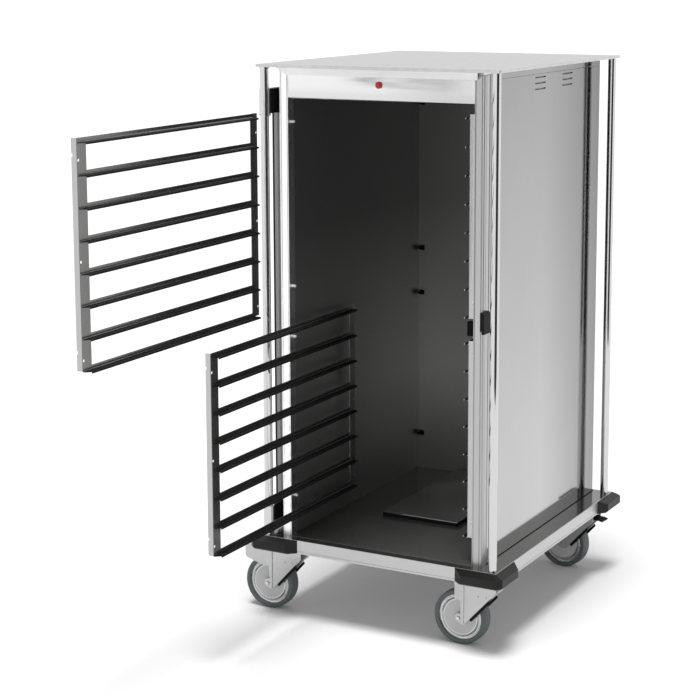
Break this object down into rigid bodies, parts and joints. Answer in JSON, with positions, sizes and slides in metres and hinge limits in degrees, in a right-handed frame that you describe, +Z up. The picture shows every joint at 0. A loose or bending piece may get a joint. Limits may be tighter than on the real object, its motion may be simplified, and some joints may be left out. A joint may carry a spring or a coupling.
{
  "type": "enclosed meal tray cart",
  "caption": "Tall enclosed trolley on swivel castors with a wrap-around hinged door, corner tube guards, bumpers and four pull-out runner racks for trays.",
  "frame": {"origin": "on the floor, at the centre of the bounding box as stored: door folded back and two racks drawn out to the front as in the picture", "axes": "+X to the cart's right seen from the door side, +Y from the door side to the back, +Z up"},
  "size_m": [0.868, 1.902, 1.624],
  "materials": {
    "panel": "satin sheet",
    "polished": "polished tube",
    "frame": "satin extrusion",
    "deck": "dark polished sheet",
    "lining": "polished liner sheet",
    "rack_metal": "polished sheet",
    "fascia": "light moulding",
    "black_plastic": "moulded",
    "bumper": "moulded",
    "gasket": "flexible profile",
    "zinc": "bright zinc plated",
    "wheel_disc": "light grey disc",
    "tyre": "dark blue-grey",
    "lamp": "red dome",
    "stud": "light"
  },
  "bodies": {
    "cart": {"base_rails": "frame", "base_core": "frame", "deck_sheet": "deck", "corner_bumpers": "bumper", "corner_tubes": "polished", "tube_sockets": "polished", "side_panel_left": "panel", "side_panel_right": "panel", "back_panel": "panel", "lining_sides": "lining", "lining_back": "lining", "lining_ceiling": "lining", "roof_box": "panel", "floor_plate": "lining", "front_posts": "panel", "header_panel": "panel", "signal_lamp": "lamp", "front_fascia": "fascia", "top_panel": "frame", "top_spacer": "panel", "floor_cover": "lining", "wall_hooks": "black_plastic", "wall_studs": "stud", "latch_keeper": "black_plastic", "castor_plates": "zinc", "castor_bolts": "zinc"},
    "hinge_post": {"hinge_tube": "polished", "hinge_collars": "polished"},
    "door": {"door_stiles": "panel", "door_rails": "panel", "door_panel": "panel", "door_gasket": "gasket", "hinge_sleeves": "polished", "hinge_blocks": "black_plastic", "latch_case": "black_plastic"},
    "latch_lever": {"latch_lever": "black_plastic"},
    "latch_bolt": {"latch_bolt": "black_plastic"},
    "rack_upper_left": {"rack_upper_left_uprights": "rack_metal", "rack_upper_left_rails": "rack_metal"},
    "rack_lower_left": {"rack_lower_left_uprights": "rack_metal", "rack_lower_left_rails": "rack_metal"},
    "rack_upper_right": {"rack_upper_right_uprights": "rack_metal", "rack_upper_right_rails": "rack_metal"},
    "rack_lower_right": {"rack_lower_right_uprights": "rack_metal", "rack_lower_right_rails": "rack_metal"},
    "castor_front_left": {"castor_fork_front_left": "zinc"},
    "wheel_front_left": {"castor_rim_front_left": "wheel_disc", "castor_tyre_front_left": "tyre"},
    "castor_front_right": {"castor_fork_front_right": "zinc"},
    "wheel_front_right": {"castor_rim_front_right": "wheel_disc", "castor_tyre_front_right": "tyre"},
    "castor_rear_left": {"castor_fork_rear_left": "zinc"},
    "wheel_rear_left": {"castor_rim_rear_left": "wheel_disc", "castor_tyre_rear_left": "tyre"},
    "castor_rear_right": {"castor_fork_rear_right": "zinc"},
    "wheel_rear_right": {"castor_rim_rear_right": "wheel_disc", "castor_tyre_rear_right": "tyre"},
    "pedal_front_left": {"brake_pedal_front_left": "black_plastic"},
    "pedal_rear_right": {"brake_pedal_rear_right": "black_plastic"}
  },
  "joints": [
    {"name": "hinge_post_turn", "type": "hinge", "parent": "cart", "child": "hinge_post", "pos_m": [-0.33, 0.047, 0.243], "axis": [0, 0, -1], "range_deg": [-180, 0]},
    {"name": "door_hinge", "type": "hinge", "parent": "hinge_post", "child": "door", "pos_m": [-0.33, 0.047, 0.243], "axis": [0, 0, -1], "range_deg": [-90, 0]},
    {"name": "latch_turn", "type": "hinge", "parent": "door", "child": "latch_lever", "pos_m": [-0.319, 0.693, 0.938], "axis": [-1, 0, 0], "range_deg": [0, 60]},
    {"name": "bolt_slide", "type": "slide", "parent": "door", "child": "latch_bolt", "axis": [0, -1, 0], "range_m": [0, 0.016]},
    {"name": "upper_left_rack_slide", "type": "slide", "parent": "cart", "child": "rack_upper_left", "axis": [0, -1, 0], "range_m": [-1.029, 0]},
    {"name": "lower_left_rack_slide", "type": "slide", "parent": "cart", "child": "rack_lower_left", "axis": [0, -1, 0], "range_m": [-0.473, 0.556]},
    {"name": "upper_right_rack_slide", "type": "slide", "parent": "cart", "child": "rack_upper_right", "axis": [0, -1, 0], "range_m": [0, 1.029]},
    {"name": "lower_right_rack_slide", "type": "slide", "parent": "cart", "child": "rack_lower_right", "axis": [0, -1, 0], "range_m": [0, 1.029]},
    {"name": "swivel_front_left", "type": "hinge", "parent": "cart", "child": "castor_front_left", "pos_m": [-0.284, 0.099, 0.203], "axis": [0, 0, 1], "continuous": true},
    {"name": "wheel_spin_front_left", "type": "hinge", "parent": "castor_front_left", "child": "wheel_front_left", "pos_m": [-0.352, 0.099, 0.08], "axis": [0, 1, 0], "continuous": true},
    {"name": "swivel_front_right", "type": "hinge", "parent": "cart", "child": "castor_front_right", "pos_m": [0.344, 0.099, 0.203], "axis": [0, 0, 1], "continuous": true},
    {"name": "wheel_spin_front_right", "type": "hinge", "parent": "castor_front_right", "child": "wheel_front_right", "pos_m": [0.276, 0.099, 0.08], "axis": [0, 1, 0], "continuous": true},
    {"name": "swivel_rear_left", "type": "hinge", "parent": "cart", "child": "castor_rear_left", "pos_m": [-0.284, 0.855, 0.203], "axis": [0, 0, 1], "continuous": true},
    {"name": "wheel_spin_rear_left", "type": "hinge", "parent": "castor_rear_left", "child": "wheel_rear_left", "pos_m": [-0.352, 0.855, 0.08], "axis": [0, 1, 0], "continuous": true},
    {"name": "swivel_rear_right", "type": "hinge", "parent": "cart", "child": "castor_rear_right", "pos_m": [0.344, 0.855, 0.203], "axis": [0, 0, 1], "continuous": true},
    {"name": "wheel_spin_rear_right", "type": "hinge", "parent": "castor_rear_right", "child": "wheel_rear_right", "pos_m": [0.27637, 0.86211, 0.08], "axis": [0.1045, 0.9945, 0], "continuous": true},
    {"name": "brake_front_left", "type": "hinge", "parent": "castor_front_left", "child": "pedal_front_left", "pos_m": [-0.324, 0.099, 0.174], "axis": [0, -1, 0], "range_deg": [0, 8]},
    {"name": "brake_rear_right", "type": "hinge", "parent": "castor_rear_right", "child": "pedal_rear_right", "pos_m": [0.38179, 0.85103, 0.174], "axis": [0.1045, 0.9945, 0], "range_deg": [0, 8]}
  ],
  "couplings": [
    {"joint": "bolt_slide", "follows": "latch_turn", "m_per_rad": 0.015279}
  ]
}
